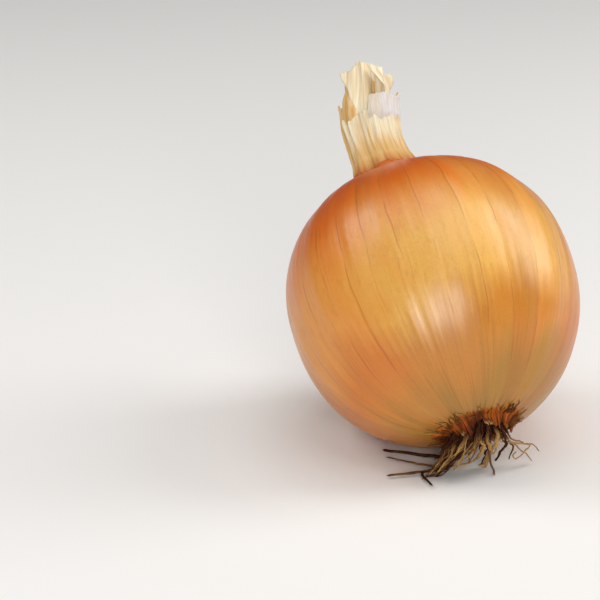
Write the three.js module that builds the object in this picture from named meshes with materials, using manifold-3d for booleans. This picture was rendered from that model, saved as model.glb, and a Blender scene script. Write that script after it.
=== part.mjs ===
// A whole yellow onion, cured and dry, lying on its flank with the root end towards the front.
//
// The bulb is one solid in its fitted skin. Two dried leaves make the neck: an outer sheath that is torn
// short, and an inner leaf that is rolled tight at its foot and stands open and ragged at the top. The roots
// grow from a corky root plate, which sits in a shallow recess under the bulb.
//
// Millimetres, +Z up. The origin is on the flat spot that the onion rests on, straight below the bulb's
// middle, and -Y faces the front. The bulb and the neck are drawn in the bulb's own frame, with its middle
// at the origin and +Z up the neck, and one leaning group lays them over. Angles round the bulb run from its
// right side, so -90 degrees is the front.
import * as THREE from "three";
import { mergeVertices } from "three/addons/utils/BufferGeometryUtils.js";
import Module from "manifold-3d";

const DEG = Math.PI / 180;
const GAP = 0.35; // between pieces that touch

// Bulb
const BULB_RADIUS = 39.8;
const CROWN_HEIGHT = 37.4; // middle to the crown
const BASE_DEPTH = 42.2; // middle to where the base would end if it had no recess
const CROWN_FULLNESS = 2.2; // 2 is an ellipse, and more is squarer in the shoulder
const BASE_FULLNESS = 2.1;
const OUT_OF_ROUND = 0.004; // share of the radius
const RIB_HEIGHT = 0.2;
const BULB_SIDES = 76;
const BULB_ROWS = 21;

// Root plate and its recess
const RECESS_RADIUS = 9.4;
const RECESS_TOP = -37.2; // level of the recess's floor
const RECESS_BEVEL = 0.8;
const COLLAR_RADIUS = 12.6; // the torn edge of the outer skin round the recess
const COLLAR_RAGGED = 1.5;
const COLLAR_STEP = 0.5;
const COLLAR_ROWS = 5;
const PLATE_RADIUS = 8.4;
const PLATE_FACE = -40.2; // level of the face that the roots leave
const PLATE_SIDES = 26;

// Rest and lean
const REST_SINK = 1.0; // depth of the flat spot below the round flank
const LEAN = 47; // of the neck from upright
const LEAN_HEADING = 21; // from straight back, towards the left

// Neck
const NECK_FOOT = 32; // level where the neck's own solids start, inside the crown
const NECK_HEIGHTS = [-6, -1, 2.5, 7, 12, 20, 28, 40]; // above the crown
const NECK_HALF_WIDTHS = [13.0, 11.2, 9.5, 8.1, 7.8, 8.2, 7.7, 7.5];
const NECK_DEPTH_SHARE = 0.78; // front to back, against its width
const LEAF_WALL = 0.9;
const LEAF_FLOOR = 16; // above the crown: the inner leaf is rolled solid below this
const SHEATH_CURL = 0.5; // outwards, at the torn tops
const LEAF_CURL = 0.9;
const CURL_START = 0.7; // share of the way up
const FLUTES = [
  { count: 5, share: 0.055, phase: 0.4 },
  { count: 9, share: 0.044, phase: 2 },
  { count: 14, share: 0.028, phase: 0 },
];
const NECK_SIDES = 54;
const NECK_ROWS = [0, 0.14, 0.26, 0.38, 0.5, 0.62, 0.74, 0.84, 0.92, 1]; // shares of the way up
// The neck's middle line, which starts up the bulb's axis and bends upright. Heights are above the crown.
const NECK_LINE = [
  [-1.0, 0, -8],
  [-1.6, 0, 4],
  [-2.0, 0, 12],
  [-1.2, -0.5, 21],
  [1.1, -1.6, 30],
  [3.8, -2.8, 42],
];
// Torn tops: the angle round the neck, and the height of the edge above the crown there.
const SHEATH_EDGE = [
  [-180, 26.5],
  [-170, 22.0],
  [-150, 18.0],
  [-130, 17.5],
  [-112, 15.8],
  [-95, 17.2],
  [-78, 15.5],
  [-62, 16.8],
  [-45, 15.0],
  [-28, 17.5],
  [-14, 20.5],
  [-5, 25.5],
  [5, 19.5],
  [30, 17.0],
  [60, 19.0],
  [90, 22.0],
  [120, 19.0],
  [150, 21.5],
  [170, 23.0],
  [180, 26.5],
];
const LEAF_EDGE = [
  [-180, 36.5],
  [-165, 36.0],
  [-150, 33.5],
  [-126, 32.5],
  [-104, 32.8],
  [-86, 31.5],
  [-66, 29.0],
  [-45, 24.5],
  [-25, 23.0],
  [-8, 26.0],
  [8, 30.5],
  [22, 34.5],
  [34, 33.0],
  [50, 36.0],
  [72, 39.5],
  [90, 41.5],
  [116, 42.0],
  [132, 40.0],
  [146, 34.5],
  [160, 35.0],
  [180, 36.5],
];

// Roots. The long ones are placed one by one: where each leaves the plate, as an angle round it and a share
// of its radius, how thick it is there, and the points that it runs through to its tip, as the onion lies.
const LONG_ROOTS = [
  {
    angle: 190,
    out: 0.8,
    thick: 1.8,
    through: [[3, -27, 4.4], [-3.5, -22.5, 2.2], [-9, -18.5, 1.4], [-13.7, -15.6, 1.3]],
  },
  {
    angle: 205,
    out: 0.9,
    thick: 1.1,
    through: [[3, -30, 4.6], [-2.5, -25.5, 1.4], [-8, -22, 0.9], [-12.8, -19.8, 0.8]],
  },
  {
    angle: 225,
    out: 0.7,
    thick: 1.5,
    through: [[4, -32.5, 4], [0, -29.5, 1.4], [-5, -28.6, 1], [-13.2, -32.1, 0.8]],
  },
  {
    angle: 250,
    out: 0.9,
    thick: 1.4,
    through: [[5, -35, 6], [2, -30.5, 1.8], [-2.2, -31.5, 1], [-0.9, -39.2, 0.9]],
  },
  {
    angle: 265,
    out: 0.85,
    thick: 1.8,
    through: [[7.5, -36.5, 9], [6.5, -33.5, 3.6], [2.5, -29, 1.4], [-3, -27, 1.2]],
  },
  {
    angle: 285,
    out: 0.8,
    thick: 1.7,
    through: [[12, -36.5, 8.5], [11.5, -34, 3.6], [7.5, -29.5, 1.4], [2, -28, 1.1]],
  },
  {
    angle: 300,
    out: 0.9,
    thick: 1.4,
    through: [[15, -35.5, 9.5], [15, -33, 4.2], [11.5, -28.5, 1.4], [7, -27, 1.1]],
  },
  {
    angle: 330,
    out: 0.8,
    thick: 1.6,
    through: [[17.5, -32, 7.4], [16.5, -28.5, 3], [13, -25.5, 1.4], [8, -24, 1.1]],
  },
  {
    angle: 315,
    out: 0.5,
    thick: 1.2,
    through: [[15, -30.5, 4], [15.6, -29.8, 1.6], [16.4, -33.2, 0.9]],
  },
  {
    angle: 345,
    out: 0.9,
    thick: 1.1,
    through: [[20, -30, 9.5], [22.5, -26.5, 4.6], [25, -23.5, 1.6], [27.1, -21.4, 0.8]],
  },
  {
    angle: 5,
    out: 0.9,
    thick: 1.0,
    through: [[21.5, -28, 10.5], [25, -25, 7.5], [27.5, -22.5, 5], [29.3, -20, 1.8]],
  },
];
// The short ones are drawn by rule, in groups: how many, where on the plate they start, as an angle round it
// and a spread, which way they run once they are down, their lengths and their thickness at the plate.
const ROOT_GROUPS = [
  { count: 8, from: -140, spread: 130, heading: 188, fan: 25, length: [11, 18], thick: [1.1, 1.7] },
  { count: 6, from: -60, spread: 100, heading: 215, fan: 40, length: [9, 14], thick: [1.1, 1.6] },
  { count: 5, from: 100, spread: 170, heading: 250, fan: 60, length: [6, 10], thick: [1.0, 1.4] },
];
const ROOT_SIDES = 5;
const ROOT_STEPS = 7;
const ROOT_TIP_SHARE = 0.6; // of its thickness at the plate
const ROOT_START = -38.8; // level inside the plate where each root begins
const ROOT_SPLAY = 0.25; // how far a root leans outwards as it leaves the plate
const ROOT_LEAVE = 3.2; // length of its first straight stretch
const ROOT_SAG = 0.34; // bend towards the floor in each step
const ROOT_SWERVE = 0.3;
const FLOOR_CLEARANCE = 0.12;

const wasm = await Module();
wasm.setup();

// A repeatable draw from 0 to 1 for item i of list k.
function draw(i, k) {
  const wave = Math.sin(i * 12.9898 + k * 78.233) * 43758.5453;
  return wave - Math.floor(wave);
}

function between([low, high], share) {
  return low + (high - low) * share;
}

function smoothstep(low, high, x) {
  const t = Math.min(1, Math.max(0, (x - low) / (high - low)));
  return t * t * (3 - 2 * t);
}

// The value at x of a line drawn through points [x, value].
function alongLine(points, x) {
  let i = 1;
  while (i < points.length - 1 && points[i][0] < x) i += 1;
  const [x0, y0] = points[i - 1];
  const [x1, y1] = points[i];
  return y0 + ((y1 - y0) * (x - x0)) / (x1 - x0);
}

// A closed three.js geometry as a solid, and a solid as a geometry.
function solidFrom(geometry) {
  const bare = geometry.clone();
  bare.deleteAttribute("normal");
  bare.deleteAttribute("uv");
  const merged = mergeVertices(bare, 1e-4);
  return new wasm.Manifold(
    new wasm.Mesh({
      numProp: 3,
      vertProperties: merged.attributes.position.array,
      triVerts: new Uint32Array(merged.index.array),
    }),
  );
}

function geometryFrom(solid) {
  const mesh = solid.getMesh();
  const geometry = new THREE.BufferGeometry();
  geometry.setAttribute("position", new THREE.BufferAttribute(new Float32Array(mesh.vertProperties), 3));
  geometry.setIndex(new THREE.BufferAttribute(new Uint32Array(mesh.triVerts), 1));
  geometry.computeVertexNormals();
  return geometry;
}

// The piece of a solid that is left after small loose scraps are dropped.
function largestPiece(solid) {
  return solid.decompose().sort((a, b) => b.volume() - a.volume())[0];
}

// Moves every vertex of a geometry by a function of its position.
function reshape(geometry, move) {
  const place = geometry.getAttribute("position");
  const point = new THREE.Vector3();
  for (let i = 0; i < place.count; i += 1) {
    point.fromBufferAttribute(place, i);
    move(point);
    place.setXYZ(i, point.x, point.y, point.z);
  }
  return geometry;
}

// LatheGeometry turns its profile round Y, so this stands it up along Z.
function latheUpright(profile, sides) {
  return new THREE.LatheGeometry(profile, sides).rotateX(Math.PI / 2);
}

// Bulb

// Low ribs, where the fleshy scales show through the skin, and the bulb's slight lack of roundness.
function bulbRelief(angle, polar) {
  const broad = 0.5 * Math.cos(9 * angle + 0.6);
  const narrow = 0.3 * Math.cos(14 * angle + 2.1) + 0.2 * Math.cos(21 * angle);
  const lopsided = Math.cos(2 * angle - 0.5) + 0.6 * Math.cos(3 * angle + 1.1);
  const relief = RIB_HEIGHT * (broad + narrow) + BULB_RADIUS * OUT_OF_ROUND * lopsided;
  return relief * Math.cos(polar);
}

// The bulb's outline, as a radius and a height, at an angle above its equator.
function bulbPoint(polar) {
  const crown = polar > 0;
  const power = 2 / (crown ? CROWN_FULLNESS : BASE_FULLNESS);
  const height = crown ? CROWN_HEIGHT : -BASE_DEPTH;
  return new THREE.Vector2(
    BULB_RADIUS * Math.cos(polar) ** power,
    height * Math.abs(Math.sin(polar)) ** power,
  );
}

// The angle below the equator where the base has narrowed to a radius.
function polarAtBase(radius) {
  return -Math.acos((radius / BULB_RADIUS) ** (BASE_FULLNESS / 2));
}

// The torn edge of the outer skin round the root plate, as a radius.
function collarEdge(angle) {
  const jags = Math.cos(8 * angle + 1) + 0.7 * Math.cos(13 * angle) + 0.4 * Math.cos(23 * angle + 2);
  return COLLAR_RADIUS + (COLLAR_RAGGED * jags) / 2;
}

// The bulb, or with a swell above 0 the same shape that much larger all round.
function bulbGeometry(swell = 0) {
  const rim = polarAtBase(RECESS_RADIUS + RECESS_BEVEL);
  const collarEnd = polarAtBase(COLLAR_RADIUS + 2 * COLLAR_RAGGED);
  const profile = [
    new THREE.Vector2(0, RECESS_TOP),
    new THREE.Vector2(RECESS_RADIUS - RECESS_BEVEL, RECESS_TOP),
    new THREE.Vector2(RECESS_RADIUS, RECESS_TOP - RECESS_BEVEL),
  ];
  for (let i = 0; i < COLLAR_ROWS; i += 1) {
    profile.push(bulbPoint(rim + ((collarEnd - rim) * i) / COLLAR_ROWS));
  }
  for (let i = 0; i < BULB_ROWS; i += 1) {
    profile.push(bulbPoint(collarEnd + ((Math.PI / 2 - collarEnd) * i) / BULB_ROWS));
  }
  profile.push(new THREE.Vector2(0, CROWN_HEIGHT));
  return reshape(latheUpright(profile, BULB_SIDES), (p) => {
    const radius = Math.hypot(p.x, p.y);
    const angle = Math.atan2(p.y, p.x);
    const inRecess = p.z < 0 && radius < RECESS_RADIUS + GAP;
    if (inRecess) {
      p.z += swell;
      return;
    }
    const polar = Math.asin(Math.max(-1, Math.min(1, p.z / BASE_DEPTH)));
    let outward = swell + bulbRelief(angle, polar);
    if (p.z < 0) {
      const torn = collarEdge(angle);
      outward += COLLAR_STEP * (1 - smoothstep(torn - COLLAR_STEP, torn + COLLAR_STEP, radius));
    }
    p.setLength(p.length() + outward);
  });
}

// Neck

function neckHalfWidth(height) {
  const points = NECK_HEIGHTS.map((h, i) => [h, NECK_HALF_WIDTHS[i]]);
  return alongLine(points, height);
}

const neckLine = new THREE.CatmullRomCurve3(
  NECK_LINE.map(([x, y, z]) => new THREE.Vector3(x, y, z + CROWN_HEIGHT)),
);

// Where the neck's middle line is at a height above the crown.
function neckMiddle(height) {
  const low = NECK_LINE[0][2];
  const high = NECK_LINE[NECK_LINE.length - 1][2];
  return neckLine.getPoint(Math.min(1, Math.max(0, (height - low) / (high - low))));
}

// Where the neck's fluted wall is at an angle round it, with outward moving it away from the middle line.
function neckPoint(angle, height, outward) {
  const middle = neckMiddle(height);
  let share = 1;
  for (const flute of FLUTES) share += flute.share * Math.cos(flute.count * angle + flute.phase);
  const radius = neckHalfWidth(height) * share + outward;
  return new THREE.Vector3(
    middle.x + radius * Math.cos(angle),
    middle.y + radius * NECK_DEPTH_SHARE * Math.sin(angle),
    middle.z,
  );
}

// A leaf round the neck, from a profile of points [inset from the neck's wall, share of the way up to the
// torn edge]. An inset of null is the middle line. The lathe only makes the closed skin, as an upright drum
// whose radius shrinks by the inset, and every vertex is then moved to its place on the neck.
function neckLeaf(profile, edge, curl) {
  const drum = NECK_FOOT;
  const foot = NECK_FOOT - CROWN_HEIGHT;
  const skin = profile.map(([inset, share]) => new THREE.Vector2(inset === null ? 0 : drum - inset, share));
  return reshape(latheUpright(skin, NECK_SIDES), (p) => {
    const angle = Math.atan2(p.y, p.x);
    const radius = Math.hypot(p.x, p.y);
    const height = foot + (alongLine(edge, angle / DEG) - foot) * p.z;
    const open = curl * smoothstep(CURL_START, 1, p.z);
    if (radius < 1) p.copy(neckMiddle(foot + (edge[0][1] - foot) * p.z));
    else p.copy(neckPoint(angle, height, open - (drum - radius)));
  });
}

function outerSheath() {
  const outside = NECK_ROWS.map((share) => [0, share]);
  const inside = NECK_ROWS.map((share) => [LEAF_WALL, share]).reverse();
  return neckLeaf([...outside, ...inside, outside[0]], SHEATH_EDGE, SHEATH_CURL);
}

function innerLeaf() {
  const inset = LEAF_WALL + GAP;
  const foot = NECK_FOOT - CROWN_HEIGHT;
  const floor = (LEAF_FLOOR - foot) / (LEAF_EDGE[0][1] - foot);
  const outside = NECK_ROWS.map((share) => [inset, share]);
  const inside = [1, 0.9, 0.8, 0.7, floor].map((share) => [inset + LEAF_WALL, share]);
  return neckLeaf([[null, 0], ...outside, ...inside, [null, floor]], LEAF_EDGE, LEAF_CURL);
}

// Lean

const leaning = new THREE.Group();
leaning.quaternion
  .setFromAxisAngle(new THREE.Vector3(0, 0, 1), LEAN_HEADING * DEG)
  .multiply(new THREE.Quaternion().setFromAxisAngle(new THREE.Vector3(1, 0, 0), -LEAN * DEG))
  .multiply(new THREE.Quaternion().setFromAxisAngle(new THREE.Vector3(0, 0, 1), -LEAN_HEADING * DEG));

// Sets the leaning group at the height where the round flank would sink into the floor by the flat spot's
// depth.
function setHeight(geometry) {
  const place = geometry.getAttribute("position");
  const point = new THREE.Vector3();
  let lowest = 0;
  for (let i = 0; i < place.count; i += 1) {
    point.fromBufferAttribute(place, i).applyQuaternion(leaning.quaternion);
    lowest = Math.min(lowest, point.z);
  }
  leaning.position.set(0, 0, -lowest - REST_SINK);
  leaning.updateMatrix();
}

// Everything below the floor, in the bulb's own frame.
function belowFloor() {
  const size = 8 * BULB_RADIUS;
  const block = new THREE.BoxGeometry(size, size, size).translate(0, 0, -size / 2);
  return block.applyMatrix4(leaning.matrix.clone().invert());
}

// Roots

// Pushes a point out of the bulb, with room for a root of this radius.
function clearOfBulb(point, radius) {
  const local = point.clone().applyMatrix4(leaning.matrix.clone().invert());
  const depth = local.z > 0 ? CROWN_HEIGHT : BASE_DEPTH;
  const flat = Math.hypot(local.x, local.y);
  const fill = Math.hypot(flat / BULB_RADIUS, local.z / depth);
  const wanted = 1 + (radius + 2 * COLLAR_STEP + GAP) / BULB_RADIUS;
  const overPlate = local.z < 0 && flat < PLATE_RADIUS - radius;
  if (fill > wanted || overPlate) return point;
  return local.multiplyScalar(wanted / fill).applyMatrix4(leaning.matrix);
}

// Where a root begins inside the plate, and the way it leaves, as the onion lies.
function rootStart(angle, out) {
  const start = new THREE.Vector3(out * Math.cos(angle), out * Math.sin(angle), ROOT_START);
  const way = new THREE.Vector3(ROOT_SPLAY * Math.cos(angle), ROOT_SPLAY * Math.sin(angle), -1).normalize();
  return [start.applyMatrix4(leaning.matrix), way.applyQuaternion(leaning.quaternion)];
}

function longRootLine({ angle, out, thick, through }) {
  const reach = (PLATE_RADIUS - thick / 2) * out;
  const [start, way] = rootStart(angle * DEG, reach);
  const free = through.map(([x, y, z]) => clearOfBulb(new THREE.Vector3(x, y, z), thick / 2));
  return new THREE.CatmullRomCurve3([start, start.clone().addScaledVector(way, ROOT_LEAVE), ...free]);
}

// A short root's middle line: out of the plate, down to the floor, and along it. k numbers its group.
function shortRootLine(group, k, index, radius) {
  const angle = (group.from + group.spread * (draw(index, k) - 0.5)) * DEG;
  const reach = (PLATE_RADIUS - radius) * Math.sqrt(between([0.1, 0.9], draw(index, k + 10)));
  const length = between(group.length, draw(index, k + 20));
  const heading = (group.heading + 2 * group.fan * (draw(index, k + 30) - 0.5)) * DEG;
  const run = new THREE.Vector3(Math.cos(heading), Math.sin(heading), 0);
  const aside = new THREE.Vector3(-run.y, run.x, 0);
  const [point, way] = rootStart(angle, reach);
  const points = [point.clone()];
  for (let i = 0; i < ROOT_STEPS; i += 1) {
    const share = i / ROOT_STEPS;
    way.z -= ROOT_SAG * (1 - share / 2);
    way.addScaledVector(run, ROOT_SAG * share);
    way.addScaledVector(aside, ROOT_SWERVE * (draw(index * 17 + i, k + 40) - 0.5));
    way.normalize();
    point.addScaledVector(way, length / ROOT_STEPS);
    if (i > 0) point.copy(clearOfBulb(point, radius));
    if (point.z < radius + FLOOR_CLEARANCE) {
      point.z = radius + FLOOR_CLEARANCE;
      way.setZ(0).normalize();
    }
    points.push(point.clone());
  }
  return new THREE.CatmullRomCurve3(points);
}

// A tapered rod bent along a line.
function bentRod(line, thick) {
  const frames = line.computeFrenetFrames(ROOT_STEPS, false);
  const tip = thick * ROOT_TIP_SHARE;
  return reshape(new THREE.CylinderGeometry(tip / 2, thick / 2, 1, ROOT_SIDES, ROOT_STEPS), (p) => {
    const share = Math.min(1, Math.max(0, p.y + 0.5));
    const row = Math.round(share * ROOT_STEPS);
    const [across, along] = [-p.x, p.z];
    p.copy(line.getPointAt(share));
    p.addScaledVector(frames.normals[row], across).addScaledVector(frames.binormals[row], along);
    p.z = Math.max(p.z, FLOOR_CLEARANCE);
  });
}

function rootPlate() {
  const top = RECESS_TOP - 2 * GAP;
  const profile = [
    new THREE.Vector2(0, PLATE_FACE - 0.4),
    new THREE.Vector2(PLATE_RADIUS * 0.55, PLATE_FACE - 0.25),
    new THREE.Vector2(PLATE_RADIUS * 0.9, PLATE_FACE),
    new THREE.Vector2(PLATE_RADIUS, PLATE_FACE + 0.7),
    new THREE.Vector2(PLATE_RADIUS - 0.2, top),
    new THREE.Vector2(0, top),
  ];
  return latheUpright(profile, PLATE_SIDES).applyMatrix4(leaning.matrix);
}

// The plate with every root, as one solid.
function rootTuft() {
  let tuft = solidFrom(rootPlate());
  for (const root of LONG_ROOTS) {
    tuft = tuft.add(solidFrom(bentRod(longRootLine(root), root.thick)));
  }
  ROOT_GROUPS.forEach((group, k) => {
    for (let i = 0; i < group.count; i += 1) {
      const thick = between(group.thick, draw(i, k + 60));
      tuft = tuft.add(solidFrom(bentRod(shortRootLine(group, k, i, thick / 2), thick)));
    }
  });
  return tuft;
}

// Assembly

const skin = new THREE.MeshStandardMaterial({ color: 0xc97a30, roughness: 0.38, metalness: 0 });
const straw = new THREE.MeshStandardMaterial({ color: 0xd9b87a, roughness: 0.7, metalness: 0 });
const paper = new THREE.MeshStandardMaterial({ color: 0xefe2c0, roughness: 0.75, metalness: 0 });
const dryRoot = new THREE.MeshStandardMaterial({ color: 0x8a6238, roughness: 0.85, metalness: 0 });

function node(name, solid, material) {
  const mesh = new THREE.Mesh(geometryFrom(solid), material);
  mesh.name = name;
  return mesh;
}

const bulbShape = bulbGeometry();
setHeight(bulbShape);
const bulb = solidFrom(bulbShape).subtract(solidFrom(belowFloor()));
const roomForBulb = solidFrom(bulbGeometry(GAP));

leaning.add(
  node("bulb", bulb, skin),
  node("neck_sheath", largestPiece(solidFrom(outerSheath()).subtract(roomForBulb)), straw),
  node("neck_inner_leaf", largestPiece(solidFrom(innerLeaf()).subtract(roomForBulb)), paper),
);

const onion = new THREE.Group();
onion.add(leaning, node("roots", rootTuft(), dryRoot));

export default onion;
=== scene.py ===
"""A whole yellow onion, cured and dry, lying on its flank with the root end towards the front.

Everything is in metres, +Z up. The bulb and the neck are drawn in the bulb's own frame, with its middle at
the origin and +Z up the neck, and are then leaned over. Angles round the bulb run from its right side, so
-90 degrees is the front.
"""
import math
from functools import partial

import bmesh
import bpy
from bpy.props import FloatProperty, FloatVectorProperty, PointerProperty
from mathutils import Matrix, Vector, noise


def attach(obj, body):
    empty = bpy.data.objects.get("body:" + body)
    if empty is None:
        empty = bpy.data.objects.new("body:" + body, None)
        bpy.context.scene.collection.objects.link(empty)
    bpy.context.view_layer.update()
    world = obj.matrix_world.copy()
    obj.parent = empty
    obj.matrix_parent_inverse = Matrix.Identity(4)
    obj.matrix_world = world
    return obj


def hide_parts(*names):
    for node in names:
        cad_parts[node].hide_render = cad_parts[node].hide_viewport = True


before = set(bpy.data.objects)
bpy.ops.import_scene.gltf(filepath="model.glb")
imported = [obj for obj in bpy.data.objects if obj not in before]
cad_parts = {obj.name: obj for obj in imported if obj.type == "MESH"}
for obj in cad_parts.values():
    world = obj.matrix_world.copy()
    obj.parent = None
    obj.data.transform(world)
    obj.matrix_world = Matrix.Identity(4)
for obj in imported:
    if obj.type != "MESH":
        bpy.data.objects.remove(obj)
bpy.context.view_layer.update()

bl_info = {
    "name": "Yellow Onion",
    "version": (1, 0, 0),
    "blender": (4, 5, 0),
    "location": "3D View > Sidebar > Onion",
    "description": "Builds a cured yellow onion with its torn neck and dry roots",
    "category": "Add Mesh",
}

MM = 0.001
BODY = "root"

# Bulb
CROWN_FULLNESS = 2.2  # 2 is an ellipse, and more is squarer in the shoulder
BASE_FULLNESS = 2.1
OUT_OF_ROUND = 0.004  # share of the radius
DENT_DEPTH = 0.25 * MM
CREASE_DEPTH = 0.08 * MM
BULB_COLUMNS = 400
BODY_ROWS = 96
REST_SINK = 1.0 * MM  # depth of the flat spot below the round flank
# The side that faces the lamps: away from it the skin is painted a deeper orange, as shade
LAMP_LIT_SIDE = math.radians(-69)
# Gold reaches higher towards this side, partly its own colour and partly a painted highlight
GOLDEN_HIGHLIGHT_SIDE = math.radians(-32)

# Skin
VEINS = 28  # about 9 mm apart at the widest ring
THREADS = 74  # finer veins, about 3.4 mm apart
SKIN_LOW = 42  # millimetres below the bulb's middle where its colours start, and how far up they run
SKIN_SPAN = 80
# The fold mask says where shade is painted on the torn skin: in the recess, under its lip and between its
# lobes
SKIN_MASKS = ("collar", "climb", "lip", "fold")
# How fine each pattern is round the bulb and up it, and its detail. Where more follows, what lies between the
# next two values is spread over 0 to 1, or over the last two.
SKIN_PATTERNS = {
    "wander": (2.5, 0.06, 2), "streaks": (26, 0.03, 3), "patches": (2.2, 0.045, 2), "fold_shade_breakup": (7, 0.5, 3),
    "vein_gaps": (6, 0.07, 2, 0.42, 0.6), "thread_gaps": (14, 0.09, 2, 0.4, 0.62),
    "fibres": (22, 0.25, 3, 0.38, 0.62), "clumps": (2.6, 0.05, 2, 0.4, 0.6), "rays": (30, 0.06, 2, 0.5, 0.64),
    "gloss": (9, 0.08, 3, 0.3, 0.7, 0.28, 0.4),
}

# Root plate, its recess and the torn skin round it
RECESS_RADIUS = 8.7 * MM
RECESS_TOP = -37.2 * MM
RECESS_FLARE = 0.4 * MM
RECESS_WALL = 2.2 * MM
RECESS_RIM = 2.8 * MM  # below its top, where the torn skin starts
RECESS_ROWS = 3
COLLAR_START = 15.0 * MM  # where the skin starts to brown
COLLAR_RADIUS = 11.2 * MM
COLLAR_RAGGED = 1.3 * MM
COLLAR_ASIDE = 1.0 * MM  # how far the torn skin is off centre, and which way
COLLAR_WAY = math.radians(-25)
COLLAR_STEP = 0.35 * MM
COLLAR_EDGE = 0.3 * MM
COLLAR_ROWS = 30
TORN_FROM = 0.5  # share of the collar's brown from which the skin is dull
FRINGE_RADIUS = 10.0 * MM  # where the torn skin turns out along the roots
FRINGE_TURN = 9.3 * MM
FRINGE_TIP = 8.5 * MM
FRINGE_REACH = (0.4 * MM, 3.4 * MM)  # between its lobes, and at their tips
FRINGE_LOBES = 8  # waves round it, which make about two lobes each
FRINGE_ROWS = 16
FRINGE_DEEP = 0.8 * MM  # depth of the folds between the lobes
DOWNHILL = math.radians(111)  # the angle round the bulb that faces the floor
LIP_THICK = 0.3 / 45  # share of its distance from the bulb's middle
PLATE_RADIUS = 8.4 * MM
PLATE_FACE = -40.2 * MM
PLATE_DEPTH = 2.3 * MM

# Skin that climbs the foot of the neck
CLIMB_START = 17.5 * MM  # radius where it leaves the crown
CLIMB_TURN = 11.8 * MM
CLIMB_ROWS = 26
CLIMB_EDGE = 2.6 * MM  # mean height of its edge
CLIMB_GAP = 0.15 * MM
CLIMB_FOLDS = 0.35 * MM

# Neck. Heights are above the crown.
NECK_FOOT = -5.4 * MM
# Its half widths, by height, and its middle line, in millimetres
NECK_WIDTHS = [(-6, 13), (-1, 11.2), (2.5, 9.5), (7, 8.1), (12, 7.8), (20, 8.2), (28, 7.7), (40, 7.5)]
NECK_LINE = [(-1, 0, -8), (-1.6, 0, 4), (-2, 0, 12), (-1.2, -0.5, 21), (1.1, -1.6, 30), (3.8, -2.8, 42)]
NECK_DEPTH_SHARE = 0.78
FLUTES = [(5, 0.055, 0.4), (9, 0.044, 2.0), (14, 0.028, 0.0)]  # count round it, share of its width, phase
# Torn tops: the angle round the neck, and the height of the edge there
SHEATH_EDGE = [
    (-180, 27.6), (-174, 26.8), (-166, 24.6), (-158, 22.6), (-151, 21), (-140, 17.5), (-132, 19.5),
    (-112, 21), (-101, 20.2), (-95, 21.2), (-80, 20), (-66, 20.6), (-56, 18.8), (-46, 19.4), (-30, 21),
    (-14, 23.5), (-6, 26.5), (2, 21), (30, 18), (60, 20), (90, 22), (120, 19), (150, 21.5), (170, 25),
    (180, 27.6),
]
# The inner leaf is rolled, so its angles run on past a full turn
LEAF_EDGE = [
    (-95, 35), (-60, 33.2), (-40, 31.6), (-20, 30.7), (0, 30.2), (12, 29), (24, 29.3), (38, 31), (52, 33.8),
    (72, 38), (90, 40.6), (104, 40.2), (116, 41.6), (132, 39.6), (146, 34.5), (160, 35), (180, 36.2),
    (196, 36.3), (212, 35.6), (230, 34.8), (240, 36.2), (251, 37), (262, 35.8), (272, 35.6), (282, 34.4),
    (300, 31), (330, 27), (360, 22),
]
LEAF_FIRST = -82.0  # the angle at which it starts, and how far it runs on
LEAF_TURN = 432.0
# The angle of its free edge and of the pleat at its left, by height
LEAF_START = [(0, -40), (18, -42), (26, -48), (32, -80), (40, -90)]
LEAF_PLEAT = [(0, -80), (23, -118), (35, -156), (42, -170)]
PEEL_EDGE = [(-90, 20), (-86, 25), (-60, 25.2), (-40, 25), (-18, 24.6), (-4, 25.6), (4, 22)]
PEEL_WALL = 0.18 * MM
SHEATH_GRID = (300, 60)
LEAF_GRID = (300, 64)
PEEL_GRID = (120, 30)
LEAF_PATTERNS = ((110, 2.5, 1), (18, 1.4, 1), (55, 1.8, 1))  # across and along: fibres, panels and streaks
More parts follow.
